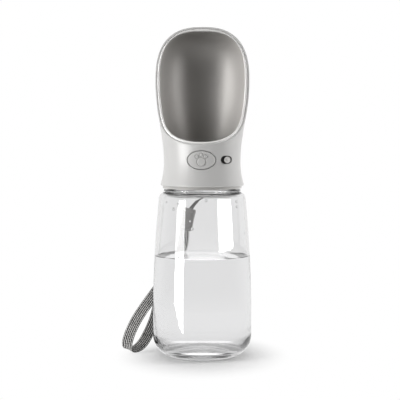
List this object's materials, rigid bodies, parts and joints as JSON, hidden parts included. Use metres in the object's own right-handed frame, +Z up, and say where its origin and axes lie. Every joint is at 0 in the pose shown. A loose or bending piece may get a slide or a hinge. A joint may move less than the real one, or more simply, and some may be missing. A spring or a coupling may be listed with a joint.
{
  "type": "dog travel water bottle",
  "caption": "Clear screw-neck bottle with a scoop-shaped drinking trough on top, fed by a push-button valve with a sliding lock, and a woven wrist strap.",
  "frame": {"origin": "centre of the bottle's flat base, on the bottle's axis", "axes": "+Z up along the bottle's axis, -Y towards the button and the trough's mouth, +X towards the lock"},
  "size_m": [0.0995, 0.0813, 0.2508],
  "materials": {
    "clear_plastic": "clear glossy plastic",
    "pale_silicone": "matt",
    "grey_plastic": "smooth gloss",
    "liner_plastic": "high gloss",
    "collar_plastic": "smooth gloss",
    "white_plastic": "moulded satin",
    "dark_silicone": "matt",
    "steel": "bright wire",
    "knob_plastic": "smooth gloss",
    "cord_fabric": "braided cord",
    "sleeve_plastic": "satin",
    "strap_fabric": "ribbed woven webbing"
  },
  "bodies": {
    "bottle": {"bottle": "clear_plastic"},
    "gasket": {"neck_gasket": "pale_silicone"},
    "head": {"head_shell": "grey_plastic", "trough_liner": "liner_plastic", "thread_collar": "collar_plastic", "valve_body": "white_plastic", "valve_gland": "white_plastic", "stem_seal": "dark_silicone", "valve_cap": "white_plastic", "cap_seal": "dark_silicone", "outlet_seal": "dark_silicone", "valve_spring": "steel", "lock_guide": "white_plastic", "deck_screws": "steel", "strap_cord": "cord_fabric", "strap_sleeve": "sleeve_plastic", "strap_webbing": "strap_fabric"},
    "button": {"button": "grey_plastic", "plunger": "white_plastic", "seal_disc": "dark_silicone", "seal_retainer": "white_plastic"},
    "lock": {"lock_slider": "knob_plastic"}
  },
  "joints": [
    {"name": "head_lift", "type": "slide", "parent": "bottle", "child": "gasket", "axis": [0, 0, 1], "range_m": [0, 0.0136]},
    {"name": "head_unscrew", "type": "hinge", "parent": "gasket", "child": "head", "pos_m": [0, 0, 0.1342], "axis": [0, 0, 1], "range_deg": [0, 1080]},
    {"name": "button_press", "type": "slide", "parent": "head", "child": "button", "axis": [0, 1, 0], "range_m": [0, 0.003], "stiffness_N_per_m": 900, "springref_m": -0.002, "deforming": ["valve_spring"]},
    {"name": "lock_slide", "type": "hinge", "parent": "head", "child": "lock", "pos_m": [0, 0, 0.1505], "axis": [0, 0, -1], "range_deg": [0, 5]}
  ],
  "couplings": [
    {"joint": "head_lift", "follows": "head_unscrew", "m_per_rad": 0.0007162}
  ]
}
